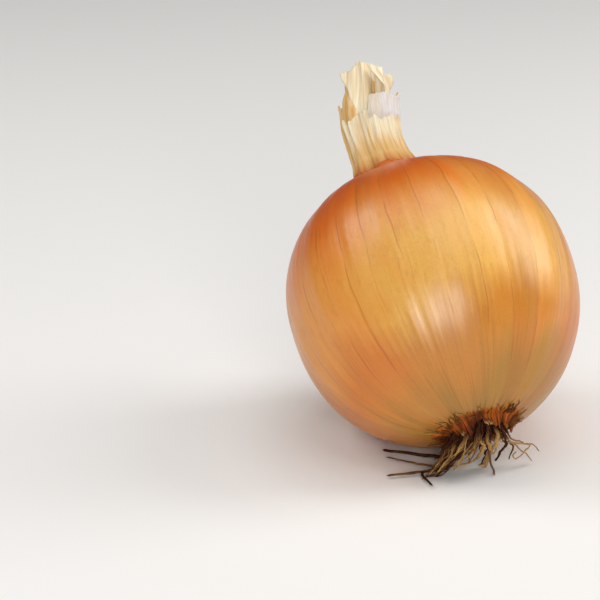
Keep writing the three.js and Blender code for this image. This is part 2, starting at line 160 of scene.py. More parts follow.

# Roots: where each long one leaves the plate, as an angle and a share of its radius, its thickness, how pale
# it is, and the points that it runs through to its tip, as the onion lies, in millimetres. A low paleness
# also paints shade on the roots that run out under the bulb.
LONG_ROOTS = [
    (190, 0.8, 1.8, 0.05, [(3.8, -22.2, 2), (-2, -17.8, 1.4), (-8.8, -16.6, 1.2), (-13.7, -15.6, 1.3)]),
    (205, 0.9, 1.1, 0.1, [(1.7, -24.9, 1.4), (-4.2, -24.4, 0.9), (-8.5, -21.5, 0.8), (-12.8, -19.6, 0.8)]),
    (225, 0.7, 1.5, 0.05, [
        (3, -29, 4), (1.7, -27.6, 1.2), (-3.7, -29.8, 1), (-8.9, -31, 0.9), (-13.2, -32.1, 0.8),
    ]),
    (250, 0.9, 1.3, 0.05, [
        (5, -33, 6), (2, -29.6, 1.6), (-3, -29.7, 1), (-3.2, -32.8, 0.9), (-0.9, -39.1, 0.9),
    ]),
    (262, 0.8, 1.4, 0.8, [(8.2, -31, 12), (8.2, -30, 9), (7.4, -28, 6), (6.2, -23.6, 1.6), (2, -25.8, 0.9)]),
    (280, 0.8, 1.5, 0.9, [
        (11.8, -33, 12.3), (12.7, -32, 9.8), (12.3, -29.5, 6.1), (10.8, -24.6, 1.5), (4.4, -26.6, 0.9),
    ]),
    (300, 0.85, 1.9, 0.85, [
        (13.8, -34, 13.9), (14.1, -33, 10.6), (14.3, -30, 7.2), (13.9, -25, 1.8), (12.1, -26.5, 1.2),
    ]),
    (318, 0.9, 1.9, 0.9, [
        (15.8, -33.5, 14), (16.2, -32.5, 11.5), (15.6, -30, 7.8), (14.6, -25.4, 1.6), (12.9, -27.2, 1.1),
    ]),
    (345, 0.85, 1.15, 0.15, [(18.8, -30, 10.4), (19.2, -29, 8.5), (17.8, -27, 5.6), (16.7, -24, 1.5)]),
    (325, 0.5, 1.0, 0.35, [(14.2, -31, 7.4), (15.4, -27.6, 2.4), (16.1, -27.8, 0.8), (16.2, -31.7, 0.8)]),
    (355, 0.8, 1.0, 0.7, [
        (18.6, -29, 10.9), (20.6, -27.5, 8.2), (23, -26, 6.1), (25.1, -24.5, 3.9), (27.2, -22.6, 0.9),
    ]),
    (8, 0.9, 0.95, 0.65, [
        (20.8, -28, 9.3), (23.2, -26.5, 8), (25.5, -25, 7.2), (27.3, -24, 6.4), (29, -23, 4.1),
    ]),
    (12, 0.7, 0.9, 0.7, [
        (21, -27, 8.6), (25.2, -25.5, 7.3), (25.8, -25.5, 6.1), (23, -26.5, 3.9), (21.8, -26.5, 4.1),
        (22.5, -26, 5.2),
    ]),
    (20, 0.9, 0.8, 0.3, [(20.1, -27, 8.8), (21.2, -26, 6.9), (20.9, -25.5, 4.9), (20.6, -23, 1.5)]),
]
# Groups of short ones: how many, the angle and its spread, the heading once down and its fan, the lengths,
# the thicknesses, how pale they are and how much they curl. A low paleness also paints shade on those under
# the bulb and by the plate.
ROOT_GROUPS = [
    (18, -150, 150, 178, 16, (13, 20), (0.6, 1.0), 0.12, 0.5),
    (6, -140, 120, 186, 20, (11, 16), (0.7, 1.1), 0.5, 0.6),
    (12, -75, 130, 188, 24, (10, 17), (0.6, 1.1), 0.7, 0.7),
    (8, 100, 170, 250, 60, (5, 10), (0.6, 1.0), 0.3, 0.4),
    (14, -110, 180, 190, 60, (8, 16), (0.3, 0.6), 0.5, 0.9),
    (9, -20, 70, -15, 50, (6, 12), (0.28, 0.5), 0.6, 1.3),
    (44, 180, 360, 200, 180, (2.5, 6), (0.4, 0.9), 0.05, 0.7),
    (22, 205, 80, 195, 35, (5, 9), (0.3, 0.6), 0.05, 0.6),
]
ROOT_SHARE = 0.74  # how thick a long root is, dried, as a share of its first thickness
ROOT_START = -38.8 * MM
ROOT_SPLAY = 0.25
# Near the plate the roots are painted dark, partly their own colour and partly painted shade in the crevice
ROOT_DARK_AND_SHADE = (4.5 * MM, 9.0 * MM)  # dark up to the first distance from the plate, and pale past the second
ROOT_GAP = 1.35 * MM  # room left between a root and the bulb
ROOT_WRINKLES = (7, 9, 1)
ROOT_LEAVE = 3.2 * MM
ROOT_SAG = 0.34
ROOT_DRIFT = 0.35  # how soon a short root turns to its heading
ROOT_STEPS = 7
FLOOR_CLEARANCE = 0.1 * MM
SHREDS = 90  # dry fibres of skin that stand out round the roots
SHRED_ROWS = 10
SHRED_LENGTHS = (1.0, 4.2)  # millimetres, as the next two are
SHRED_THICKNESSES = (0.2, 0.42)
SHRED_LIFTS = (0.05, 0.9)
ROOT_SIDES = 9
ROOT_ROWS = 34

# Camera and floor
CAMERA_ELEVATION = 20  # degrees
PHOTO_PIXELS = 600
SENSOR = 36.0  # millimetres
BULB_PIXEL = (431.5, 298.7)  # where the bulb's middle is in the photograph
PIXELS_PER_METRE = 144.5 / (40 * MM)  # of the photograph, at the bulb
MIDDLE_HEIGHT = 40 * MM
FLOOR_RADIUS = 4.0
AIR_LIGHT = 0.08
LIGHTS = {  # the way to each from the bulb's middle, how far, its width and height, and its watts
    "front_softbox": ((0.05, -0.949, 0.312), 1.1, (0.5, 0.44), 6.8),
    "left_softbox": ((-0.678, 0.066, 0.731), 1.0, (0.46, 0.46), 3.0),
    "right_softbox": ((0.808, 0.153, 0.57), 1.0, (0.44, 0.8), 5.3),
    "top_softbox": ((0.1, -0.1, 1.0), 1.4, (1.2, 1.2), 9.8),
}


def linear(code):
    """An sRGB hex colour as linear red, green, blue and 1."""
    channels = [int(code[i:i + 2], 16) / 255 for i in (1, 3, 5)]
    return [c / 12.92 if c <= 0.04045 else ((c + 0.055) / 1.055) ** 2.4 for c in channels] + [1.0]


def colour(name, code, description):
    return FloatVectorProperty(
        name=name, description=description, default=linear(code), size=4, min=0, max=1, subtype="COLOR",
    )


def length(name, millimetres, description):
    return FloatProperty(
        name=name, description=description, default=millimetres * MM, min=0, precision=4, unit="LENGTH",
    )


class OnionSizes(bpy.types.PropertyGroup):
    bulb_radius: length("Bulb radius", 39.8, "Radius of the bulb at its widest")
    crown_height: length("Crown height", 37.4, "From the bulb's middle to the crown")
    base_depth: length("Base depth", 42.2, "From the bulb's middle to its base, with no recess")
    rib_height: length("Rib height", 0.2, "Height of the low ribs in the skin")
    leaf_wall: length("Leaf wall", 0.35, "Thickness of the neck's dried leaves")
    lean: FloatProperty(
        name="Lean", description="Lean of the neck from upright", default=math.radians(47), subtype="ANGLE",
    )
    lean_heading: FloatProperty(
        name="Lean heading", description="Which way it leans, from straight back towards the left",
        default=math.radians(21), subtype="ANGLE",
    )
    camera_distance: length("Camera distance", 650, "From the camera to the bulb's middle")


class OnionColours(bpy.types.PropertyGroup):
    crown: colour("Crown", "#CC4602", "Skin round the neck")
    shoulder: colour("Shoulder", "#D06410", "Skin on the shoulder")
    flank: colour("Flank", "#DEA64E", "Skin at the widest part")
    belly: colour("Belly", "#C47E2A", "Skin below the widest part")
    base: colour("Base", "#A67424", "Skin near the roots")
    collar: colour("Collar", "#B6621C", "Torn skin round the roots")
    # Dark brown of the torn skin's clumps and rays, also laid on as painted shade in its folds, under its lip
    # and in the recess
    fold: colour("Fold", "#4A1E02", "Folds in the torn skin")
    vein: colour("Vein", "#8A3806", "Dark lines from neck to root")
    straw: colour("Straw", "#D2A764", "Older parts of the neck's leaves")
    sheath: colour("Sheath", "#E6DABC", "Outer leaf of the neck")
    paper: colour("Paper", "#EBE0C4", "Inner leaf of the neck")
    peel: colour("Peel", "#DCD4D2", "Thin skin that peels from the neck")
    peel_old: colour("Old peel", "#D0C2AE", "The same skin where it is older")
    stain: colour("Stain", "#BC6620", "Brown streaks on the neck")
    root_pale: colour("Pale root", "#B0864E", "Roots in the open")
    # Dark brown of the roots, used also as painted shade near the plate and on roots in the bulb's shadow
    root_dark_and_shade: colour("Dark root", "#3A1703", "Roots against the plate")
    floor: colour("Floor", "#E9E7E4", "Plain floor")
    floor_fleck: colour("Floor fleck", "#DDDBD7", "Faint flecks in the floor")


# Small helpers

def smoothstep(low, high, x):
    t = min(1.0, max(0.0, (x - low) / (high - low)))
    return t * t * (3 - 2 * t)


def between(ends, share):
    return ends[0] + (ends[1] - ends[0]) * share


def draw(i, k):
    """A repeatable draw from 0 to 1 for item i of list k."""
    wave = math.sin(i * 12.9898 + k * 78.233) * 43758.5453
    return wave - math.floor(wave)


def round_axis(angle, radius, height=0.0):
    """A place at an angle round the Z axis."""
    return Vector((radius * math.cos(angle), radius * math.sin(angle), height))


def above(height, low, high):
    """0 up to a height of low millimetres, and 1 from high."""
    return smoothstep(low * MM, high * MM, height)


def along_line(points, x):
    """The value at x of a line drawn through points (x, value)."""
    i = 1
    while i < len(points) - 1 and points[i][0] < x:
        i += 1
    (x0, y0), (x1, y1) = points[i - 1], points[i]
    return y0 + (y1 - y0) * (x - x0) / (x1 - x0)


def ruffle(angle, count, seed, level=0.0):
    """Uneven waves from -1 to 1 round an axis, about count of them, that change with level."""
    return noise.noise(round_axis(angle, count / math.pi, level + 7.3 * seed)) * 1.6


def curve_through(points):
    """A smooth line through points, as a function of the share of the way along it."""
    ends = [2 * points[0] - points[1], *points, 2 * points[-1] - points[-2]]

    def at(share):
        span = min(max(share, 0.0), 1.0) * (len(points) - 1)
        i = min(int(span), len(points) - 2)
        t = span - i
        a, b, c, d = ends[i:i + 4]
        bend, twist = 2 * a - 5 * b + 4 * c - d, 3 * b - a - 3 * c + d
        return 0.5 * (2 * b + (c - a) * t + bend * t ** 2 + twist * t ** 3)

    return at


def reshape(bm, move):
    """Moves every vertex by a function of its place."""
    for vert in bm.verts:
        vert.co = move(vert.co.copy(), vert)


def finish_piece(bm, name, looks, nodes=()):
    """Makes the piece's object with its materials, rides it on the onion and hides the parts of model.glb
    that it stands for.
    """
    mesh = bpy.data.meshes.new(name)
    bm.to_mesh(mesh)
    bm.free()
    mesh.shade_smooth()
    for look in looks:
        mesh.materials.append(look)
    piece = bpy.data.objects.new(name, mesh)
    bpy.context.scene.collection.objects.link(piece)
    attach(piece, BODY)
    if nodes:
        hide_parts(*nodes)


# The bulb's form

def crown_profile(sizes, polar):
    """Radius and height of the skin at an angle above the widest ring, or below it where it is negative."""
    crown = polar > 0
    power = 2 / (CROWN_FULLNESS if crown else BASE_FULLNESS)
    depth = sizes.crown_height if crown else -sizes.base_depth
    return sizes.bulb_radius * math.cos(polar) ** power, depth * abs(math.sin(polar)) ** power


def polar_at(sizes, radius, fullness):
    return math.acos((radius / sizes.bulb_radius) ** (fullness / 2))


def base_height(sizes, radius):
    return crown_profile(sizes, -polar_at(sizes, radius, BASE_FULLNESS))[1]


def leaning(sizes):
    """Takes the bulb's own frame to the onion as it lies."""
    turn = Matrix.Rotation(sizes.lean_heading, 4, "Z") @ Matrix.Rotation(-sizes.lean, 4, "X")
    turn = turn @ Matrix.Rotation(-sizes.lean_heading, 4, "Z")
    lowest = 0.0
    for i in range(BODY_ROWS):
        radius, height = crown_profile(sizes, -math.pi / 2 * i / BODY_ROWS)
        lowest = min(lowest, height * math.cos(sizes.lean) - radius * math.sin(sizes.lean))
    return Matrix.Translation((0, 0, -lowest - REST_SINK)) @ turn


def relief(sizes, angle, polar):
    """Low ribs, where the fleshy scales show through the skin, and the bulb's slight lack of roundness."""
    broad = 0.5 * math.cos(9 * angle + 0.6)
    narrow = 0.3 * math.cos(14 * angle + 2.1) + 0.2 * math.cos(21 * angle)
    lopsided = math.cos(2 * angle - 0.5) + 0.6 * math.cos(3 * angle + 1.1)
    raised = sizes.rib_height * (broad + narrow) + sizes.bulb_radius * OUT_OF_ROUND * lopsided
    dents = DENT_DEPTH * ruffle(angle, 7, 1, 2 * math.sin(polar))
    creases = CREASE_DEPTH * ruffle(angle, 60, 2, math.sin(polar))
    return (raised + dents + creases) * math.cos(polar)


def collar_edge(angle):
    """The torn outer edge of the collar of skin round the roots, as a radius."""
    ragged = ruffle(angle, 7, 17) + 0.5 * ruffle(angle, 25, 3) + 0.3 * ruffle(angle, 60, 18)
    return COLLAR_RADIUS + COLLAR_RAGGED * ragged


def fringe_lobe(angle):
    """How far into a lobe of the fringe an angle is: 0 in the fold between two, 1 at the middle of one."""
    wide = abs(ruffle(angle, FRINGE_LOBES, 4))
    narrow = abs(ruffle(angle, 3 * FRINGE_LOBES, 14))
    return min(1.0, 0.15 + 1.9 * wide) * min(1.0, 0.45 + 1.6 * narrow)


def fringe_pale(angle):
    """How bleached the tip of the fringe is."""
    return smoothstep(0.1, 0.6, ruffle(angle, 9, 13))


def fringe_tip(sizes, angle):
    """The ragged end of the torn skin, which stands out along the roots in lobes."""
    under = 0.5 + 0.5 * math.cos(angle - DOWNHILL)
    reach = between(FRINGE_REACH, fringe_lobe(angle)) * (1 - 0.6 * under)
    reach += MM * (1.3 * ruffle(angle, 13, 5) + 0.8 * ruffle(angle, 60, 6)) * (1 - 0.5 * under)
    radius = FRINGE_TIP + 0.9 * MM * ruffle(angle, 16, 7)
    return round_axis(angle, radius, base_height(sizes, radius) - max(reach, 0.3 * MM))


# The neck's form

neck_middle_line = curve_through([Vector(point) * MM for point in NECK_LINE])
NECK_LINE_HEIGHTS = [(point[2], i / (len(NECK_LINE) - 1)) for i, point in enumerate(NECK_LINE)]


def neck_middle(height):
    return neck_middle_line(along_line(NECK_LINE_HEIGHTS, height / MM))


def neck_point(sizes, angle, height, outward):
    """A place on the neck's fluted wall, in the bulb's frame, moved away from the middle line by outward."""
    middle = neck_middle(height)
    share = 1 + sum(part * math.cos(count * angle + phase) for count, part, phase in FLUTES)
    radius = along_line(NECK_WIDTHS, height / MM) * MM * share + outward
    return Vector((
        middle.x + radius * math.cos(angle),
        middle.y + radius * NECK_DEPTH_SHARE * math.sin(angle),
        middle.z + sizes.crown_height,
    ))


def wrapped(angle):
    """An angle in degrees, from -180 to 180."""
    return (math.degrees(angle) + 180) % 360 - 180


def torn(edge, degrees, angle, seed, jag):
    """Height of a torn edge: its outline, fine jags, and a few narrow splits down between the fibres."""
    height = along_line(edge, degrees)
    height += jag * (0.9 * ruffle(angle, 22, seed) + 0.5 * ruffle(angle, 60, seed + 1))
    split = max(0.0, ruffle(angle, 26, seed + 2) - 0.8) / 0.2
    return (height - jag * 4 * min(1.0, split)) * MM


def sheet(columns, rows, place):
    """A grid of columns by rows, closed where its vertices meet. place(u, v), both from 0 to 1, gives where a
    vertex goes and how brown it is."""
    bm = bmesh.new()
    bm.loops.layers.uv.new("UVMap")
    brown = bm.verts.layers.float.new("brown")
    bmesh.ops.create_grid(bm, x_segments=columns, y_segments=rows, size=0.5, calc_uvs=True)
    for vert in bm.verts:
        vert.co, vert[brown] = place(vert.co.x + 0.5, vert.co.y + 0.5)
    bmesh.ops.remove_doubles(bm, verts=bm.verts, dist=0.001 * MM)
    return bm


def give_wall(bm, thickness):
    """Turns a sheet into a thin wall, by a copy of it set inwards and joined round the edges."""
    bmesh.ops.recalc_face_normals(bm, faces=bm.faces)
    made = bmesh.ops.extrude_face_region(bm, geom=bm.faces[:], use_keep_orig=True)["geom"]
    inner = [part for part in made if isinstance(part, bmesh.types.BMVert)]
    bm.normal_update()
    for vert in inner:
        vert.co -= vert.normal * thickness
    bmesh.ops.recalc_face_normals(bm, faces=bm.faces)


# Materials

SMOOTH = {"interpolation_type": "SMOOTHSTEP"}
BLEND = {"data_type": "RGBA"}
PLUS = {"operation": "ADD"}
TIMES = {"operation": "MULTIPLY"}
TIMES_PLUS = {"operation": "MULTIPLY_ADD"}


def add_node(tree, kind, inputs=(), output=None, **settings):
    """Adds a shader node with its settings and links, and gives the output of this name, or its first. Inputs
    are values or outputs of other nodes, by name or in the order that the node shows them."""
    node = tree.nodes.new("ShaderNode" + kind)
    for name, value in settings.items():
        setattr(node, name, value)
    shown = [socket for socket in node.inputs if socket.enabled]
    for key, value in inputs.items() if isinstance(inputs, dict) else enumerate(inputs):
        socket = shown[key] if isinstance(key, int) else node.inputs[key]
        if isinstance(value, bpy.types.NodeSocket):
            tree.links.new(value, socket)
        else:
            socket.default_value = value
    return next((socket for socket in node.outputs if socket.enabled and output in (None, socket.name)), None)


def new_material(name):
    """A new material, and the function that adds nodes to it."""
    made = bpy.data.materials.new(name)
    made.use_nodes = True
    made.node_tree.nodes.clear()
    return made, partial(add_node, made.node_tree)


def varied(add, value, *patterns):
    """A value made uneven by patterns from 0 to 1, each with how far it moves the value from end to end."""
    for pattern, reach in patterns:
        centred = add("Math", (pattern, reach, -reach / 2), **TIMES_PLUS)
        value = add("Math", (value, centred), **PLUS)
    return value


def skin_material(sizes, colours, name, specular, coat):
    """Cured onion skin: a dry papery scale a few cells thick, grown in place. It is translucent and takes a
    satin shine, with dark veins from neck to root, soft bands between them and a fine grain. Where it is torn
    and weathered it has lost its waxy coat, and is dull."""
    made, add = new_material(name)
    place = leaning(sizes)
    # The place in the bulb's own frame, in millimetres
    own = add("Mapping", {
        "Vector": add("TexCoord", output="Object"), "Location": place.to_translation(),
        "Rotation": place.to_euler(), "Scale": (MM, MM, MM),
    }, vector_type="TEXTURE")
    axes = add("SeparateXYZ", (own,)).node.outputs
    height = axes["Z"]
    flat = add("CombineXYZ", (axes["X"], axes["Y"]))
    way = add("VectorMath", (flat,), operation="NORMALIZE")
    grid = add("VectorMath", (way, add("CombineXYZ", {"Z": height})), **PLUS)

    def pattern(which):
        turns, climb, detail, *spread = SKIN_PATTERNS[which]
        grain = add("TexNoise", (add("VectorMath", (grid, (turns, turns, climb)), **TIMES), 1.0, detail))
        return add("MapRange", (grain, *spread), **SMOOTH) if spread else grain

    # 1 on the meridian at each of these angles, and -1 on the one across from it
    golden_highlight, lamp_facing = (
        add("VectorMath", (way, round_axis(side, 1)), operation="DOT_PRODUCT")
        for side in (GOLDEN_HIGHLIGHT_SIDE, LAMP_LIT_SIDE)
    )
    # The angle round the bulb, in turns, from the side that faces the floor
    turned = add("VectorRotate", {"Vector": flat, "Angle": math.pi - DOWNHILL}, rotation_type="Z_AXIS")
    facing = add("SeparateXYZ", (turned,)).node.outputs
    angle = add("Math", (facing["Y"], facing["X"]), operation="ARCTAN2")
    angle = add("Math", (angle, 2 * math.pi), operation="DIVIDE")
    angle = varied(add, angle, (pattern("wander"), 0.012))
    around = add("VectorMath", (flat,), operation="LENGTH")

    def veins(count):
        """The panels between count veins: a random colour, the place across it from -0.5 to 0.5, and the
        distance from its edge in millimetres, so that a vein is as wide all the way."""
        at = {"W": add("Math", (angle, count), **TIMES), "Scale": 1.0, "Randomness": 0.75}
        panel = add("TexVoronoi", at, voronoi_dimensions="1D").node.outputs
        across = add("Math", (at["W"], panel["W"]), operation="SUBTRACT")
        edge = add("TexVoronoi", at, voronoi_dimensions="1D", feature="DISTANCE_TO_EDGE")
        edge = add("Math", (add("Math", (edge, around), **TIMES), 2 * math.pi / count), **TIMES)
        return panel["Color"], across, edge

    panels, across, from_vein = veins(VEINS)
    _, _, from_thread = veins(THREADS)
    tone = add("SeparateColor", (panels,)).node.outputs
    streaks, patches = pattern("streaks"), pattern("patches")
    speckle = add("TexNoise", (own, 1.1, 2.0, 0.7))
    cells = add("TexNoise", (own, 3.2, 2.0, 0.7))

    # The colour runs from deep orange at the neck through gold to olive brown at the roots, unevenly. Gold
    # reaches higher on one side, partly its own colour and partly a painted highlight on the side that faces
    # a lamp.
    level = add("Math", (height, 1 / SKIN_SPAN, SKIN_LOW / SKIN_SPAN), **TIMES_PLUS)
    level = varied(add, level, (streaks, 0.12), (patches, 0.26))
    golden_highlight = add("MapRange", (golden_highlight, 0.35, 0.95, 0.0, 0.09), **SMOOTH)
    tint = add("ValToRGB", (add("Math", (level, golden_highlight), operation="SUBTRACT"),))
    stops = tint.node.color_ramp.elements
    stops.remove(stops[1])
    stops[0].color = colours.base
    for stop, paint in (
        (0.04, colours.base), (0.13, colours.belly), (0.19, colours.belly), (0.31, colours.flank),
        (0.52, colours.flank), (0.8, colours.shoulder), (0.98, colours.crown),
    ):
        stops.new(stop).color = paint
    shade = add("MapRange", (tone["Red"], 0.0, 1.0, 0.9, 1.06), **SMOOTH)
    shade = varied(add, shade, (speckle, 0.14), (streaks, 0.18), (cells, 0.2))
    tint = add("Mix", (1.0, tint, shade), blend_type="MULTIPLY", **BLEND)

    # It is warmer on some panels. Above the base it is painted a deeper orange, a painted shade, on the sides
    # turned away from the lamps.
    warm = add("MapRange", (varied(add, tone["Green"], (patches, 1.0)), 0.45, 0.95, 0.0, 0.34), **SMOOTH)
    shaded = add("MapRange", (varied(add, lamp_facing, (patches, 0.5)), 0.5, 0.85, 0.45, 0.0), **SMOOTH)
    painted_side_shade = add("Math", (shaded, add("MapRange", (height, -38.0, -26.0), **SMOOTH)), **TIMES)
    vein = add("MapRange", (from_vein, 0.05, 0.34, 0.4, 0.0), **SMOOTH)
    thread = add("MapRange", (from_thread, 0.04, 0.16, 0.17, 0.0), **SMOOTH)
    # The torn skin at the roots is a dry orange brown in clumps, dark along its fibres, and dark rays run out
    # from it over the base. It is painted dark in its folds, under its lip and in the recess round the plate,
    # a painted shade. Where it climbs the neck it is orange, and stained at its edge.
    collar, up_neck, bleached, fold = (
        add("Attribute", output="Fac", attribute_name=mask) for mask in SKIN_MASKS
    )
    fibres = pattern("fibres")
    dark_clump = add("Mix", (fibres, colours.fold, colours.vein), **BLEND)
    lit_clump = add("Mix", (fibres, colours.vein, colours.collar), **BLEND)
    near_roots = add("MapRange", (height, -41.0, -38.2, 0.6, 0.0), **SMOOTH)
    on_collar = add("MapRange", (collar, 0.35, 0.9), **SMOOTH)
    # Painted shade from the fold mask, made uneven
    folds = add("MapRange", (varied(add, fold, (pattern("fold_shade_breakup"), 0.9)), 0.15, 0.95, 0.0, 0.92), **SMOOTH)
    stained = add("MapRange", (up_neck, 0.5, 1.0), **SMOOTH)
    # Each colour is laid on over those before it, by its share. The veins fade out here and there.
    for share, paint in (
        (add("Math", (warm, painted_side_shade), operation="MAXIMUM"), colours.shoulder),
        (add("Math", (vein, pattern("vein_gaps")), **TIMES), colours.vein),
        (add("Math", (thread, pattern("thread_gaps")), **TIMES), colours.vein),
        (add("MapRange", (varied(add, collar, (fibres, 0.7)), 0.25, 0.8), **SMOOTH),
         add("Mix", (pattern("clumps"), dark_clump, lit_clump), **BLEND)),
        (add("Math", (near_roots, pattern("rays")), **TIMES), colours.fold),
        # Painted shade in the folds, under the lip and in the recess
        (add("Math", (folds, on_collar), **TIMES), colours.fold),
        (add("Math", (bleached, 0.7), **TIMES), colours.straw),
        (add("MapRange", (up_neck, 0.0, 0.6, 0.0, 0.8), **SMOOTH),
         add("Mix", (fibres, colours.crown, colours.shoulder), **BLEND)),
        (add("Math", (stained, fibres), **TIMES), colours.stain),
    ):
        tint = add("Mix", (share, tint, paint), **BLEND)

    gloss = add("Math", (collar, 0.3, pattern("gloss")), **TIMES_PLUS)
    # Each panel is slightly tilted and pillowed between its veins, which breaks the shine into bands
    tilt = add("Math", (add("Math", (tone["Blue"], 1.7, -0.85), **TIMES_PLUS), across), **TIMES)
    tilt = add("Math", (tilt, add("MapRange", (from_vein, 0.0, 2.0), **SMOOTH)), **TIMES)
    lift = add("Math", (tilt, add("MapRange", (from_vein, 0.0, 3.0, 0.0, 0.3), **SMOOTH)), **PLUS)
    for grain, depth in ((streaks, 0.25), (speckle, 0.08), (cells, 0.1)):
        lift = add("Math", (grain, depth, lift), **TIMES_PLUS)
    shader = add("BsdfPrincipled", {
        "Base Color": tint, "Roughness": gloss, "IOR": 1.5, "Specular IOR Level": specular,
        "Subsurface Weight": 0.08, "Subsurface Radius": (3.0, 1.2, 0.4), "Subsurface Scale": 0.5 * MM,
        "Coat Weight": coat, "Coat Roughness": 0.3,
        "Normal": add("Bump", {"Strength": 1.0, "Distance": 0.25 * MM, "Height": lift}),
    })
    add("OutputMaterial", (shader,))
    return made


def leaf_material(name, pale, straw, stain):
    """Dried onion leaf: the withered foot of a green leaf, dried in the field. It is matte, pale straw and
    thin enough to glow a little, with long fibres about 0.6 mm apart and brown streaks that thicken towards
    its foot."""
    made, add = new_material(name)
    unrolled = add("TexCoord", output="UV")
    fibres, panels, streaks = (
        add("TexNoise", (add("Mapping", {"Vector": unrolled, "Scale": scale}), 1.0, 3.0))
        for scale in LEAF_PATTERNS
    )
    # Brown is laid on as streaks: where the leaf is browner, more of them show. On the inner leaf part of
    # the brown is painted shade, and part of its paleness a painted highlight.
    brown = add("Attribute", output="Fac", attribute_name="brown")
    brown_and_shade = varied(add, brown, (streaks, 1.3), (panels, 0.6))
    tint = add("Mix", (add("MapRange", (brown_and_shade, -0.1, 0.7), **SMOOTH), pale, straw), **BLEND)
    tint = add("Mix", (add("MapRange", (brown_and_shade, 0.55, 1.4), **SMOOTH), tint, stain), **BLEND)
    shade = add("MapRange", (fibres, 0.3, 0.7, 0.88, 1.06), **SMOOTH)
    lift = add("Math", (fibres, panels), **PLUS)
    shader = add("BsdfPrincipled", {
        "Base Color": add("Mix", (1.0, tint, shade), blend_type="MULTIPLY", **BLEND),
        "Roughness": 0.62, "IOR": 1.42,
        "Subsurface Weight": 0.2, "Subsurface Radius": (1.0, 0.7, 0.4), "Subsurface Scale": 1.0 * MM,
        "Normal": add("Bump", {"Strength": 0.5, "Distance": 0.2 * MM, "Height": lift}),
    })
    add("OutputMaterial", (shader,))
    return made


def root_material(colours):
    """Dry onion root: a shrivelled fibre, matte and wrinkled along its length. It is paler where it hangs
    free, and darker near the plate and on roots under the bulb, partly its own brown and partly painted
    shade.
    """
    made, add = new_material("dry_onion_root")
    along = add("Mapping", {"Vector": add("TexCoord", output="UV"), "Scale": ROOT_WRINKLES})
    wrinkles = add("TexNoise", (along, 1.0, 3.0))
    pale = varied(add, add("Attribute", output="Fac", attribute_name="pale"), (wrinkles, 0.9))
    pale = add("MapRange", (pale, 0.0, 1.0), **SMOOTH)
    shader = add("BsdfPrincipled", {
        "Base Color": add("Mix", (pale, colours.root_dark_and_shade, colours.root_pale), **BLEND),
        "Roughness": 0.8, "IOR": 1.4, "Specular IOR Level": 0.25,
        "Normal": add("Bump", {"Strength": 0.6, "Distance": 0.15 * MM, "Height": wrinkles}),
    })
    add("OutputMaterial", (shader,))
    return made


def floor_material(colours):
    """Matte white studio paper: smooth pulp with no coating, so it takes a soft shadow and no shine."""
    made, add = new_material("studio_paper")
    pulp = add("TexNoise", (add("TexCoord", output="Object"), 60.0, 2.0))
    flecks = add("MapRange", (pulp, 0.3, 0.7, 0.0, 0.02), **SMOOTH)
    tint = add("Mix", (flecks, colours.floor, colours.floor_fleck), **BLEND)
    add("OutputMaterial", (add("BsdfPrincipled", {"Base Color": tint, "Roughness": 0.9}),))
    return made


# The bulb

def bulb_rings():
    """The rings from the middle of the recess to the crown, each as its kind and the share of the way through
    that kind."""
    kinds = (
        ("floor", range(RECESS_ROWS), RECESS_ROWS), ("wall", range(2), 1), ("under", range(4), 3),
        ("fringe", range(1, FRINGE_ROWS), FRINGE_ROWS), ("collar", range(COLLAR_ROWS), COLLAR_ROWS),
        ("body", range(BODY_ROWS), BODY_ROWS), ("climb", range(CLIMB_ROWS + 1), CLIMB_ROWS),
        ("cap", range(2), 1),
    )
    return [(kind, i / rows) for kind, steps, rows in kinds for i in steps]


def body_place(sizes, angle, radius, height, polar, outward=0.0):
    place = round_axis(angle, radius, height)
    return place * ((place.length + relief(sizes, angle, polar) + outward) / place.length)


def base_place(sizes, angle, radius):
    """A place on the skin at the base, with the step at the collar's edge and the foot of the folds."""
    polar = -polar_at(sizes, radius, BASE_FULLNESS)
    on_collar = 1 - smoothstep(-COLLAR_EDGE, COLLAR_EDGE, radius - collar_edge(angle))
    near = 1 - smoothstep(FRINGE_RADIUS, COLLAR_START, radius)
    wrinkle = 0.14 * MM * ruffle(angle, 44, 8, radius / MM * 0.2) * near
    fold = FRINGE_DEEP * (fringe_lobe(angle) - 0.6) * near ** 3
    raised = COLLAR_STEP * on_collar + wrinkle + fold
    return body_place(sizes, angle, radius, base_height(sizes, radius), polar, raised)


def fringe_place(sizes, angle, share):
    """A place on the torn skin from the fringe's tip, at 0, to where it leaves the base, at 1."""
    tip = fringe_tip(sizes, angle)
    foot = base_place(sizes, angle, FRINGE_RADIUS)
    turn = base_place(sizes, angle, FRINGE_TURN)
    turn.z -= 0.3 * MM
    place = tip.lerp(turn, share).lerp(turn.lerp(foot, share), share)
    bulge = FRINGE_DEEP * (fringe_lobe(angle) - 0.6) * math.sin(math.pi * share)
    return place + round_axis(angle, bulge * 0.6)


def set_aside(place):
    """Moves a place near the base with the torn skin, which is off centre."""
    if place.z > 0:
        return place
    near = 1 - smoothstep(FRINGE_RADIUS, 2 * COLLAR_START, math.hypot(place.x, place.y))
    return place + round_axis(COLLAR_WAY, COLLAR_ASIDE * near)


def climb_place(sizes, angle, share):
    """A place on the skin that climbs the foot of the neck, from the crown to its torn edge."""
    polars = [polar_at(sizes, radius, CROWN_FULLNESS) for radius in (CLIMB_START, CLIMB_TURN)]
    start, turn = (body_place(sizes, angle, *crown_profile(sizes, polar), polar) for polar in polars)
    top = CLIMB_EDGE + MM * (0.9 * ruffle(angle, 9, 9) + 0.5 * ruffle(angle, 30, 10))
    end = neck_point(sizes, angle, top, CLIMB_GAP)
    place = start.lerp(turn, share).lerp(turn.lerp(end, share), share)
    fold = CLIMB_FOLDS * ruffle(angle, 30, 12) * math.sin(math.pi * share) ** 0.5
    return place + round_axis(angle, fold, 0.3 * fold)


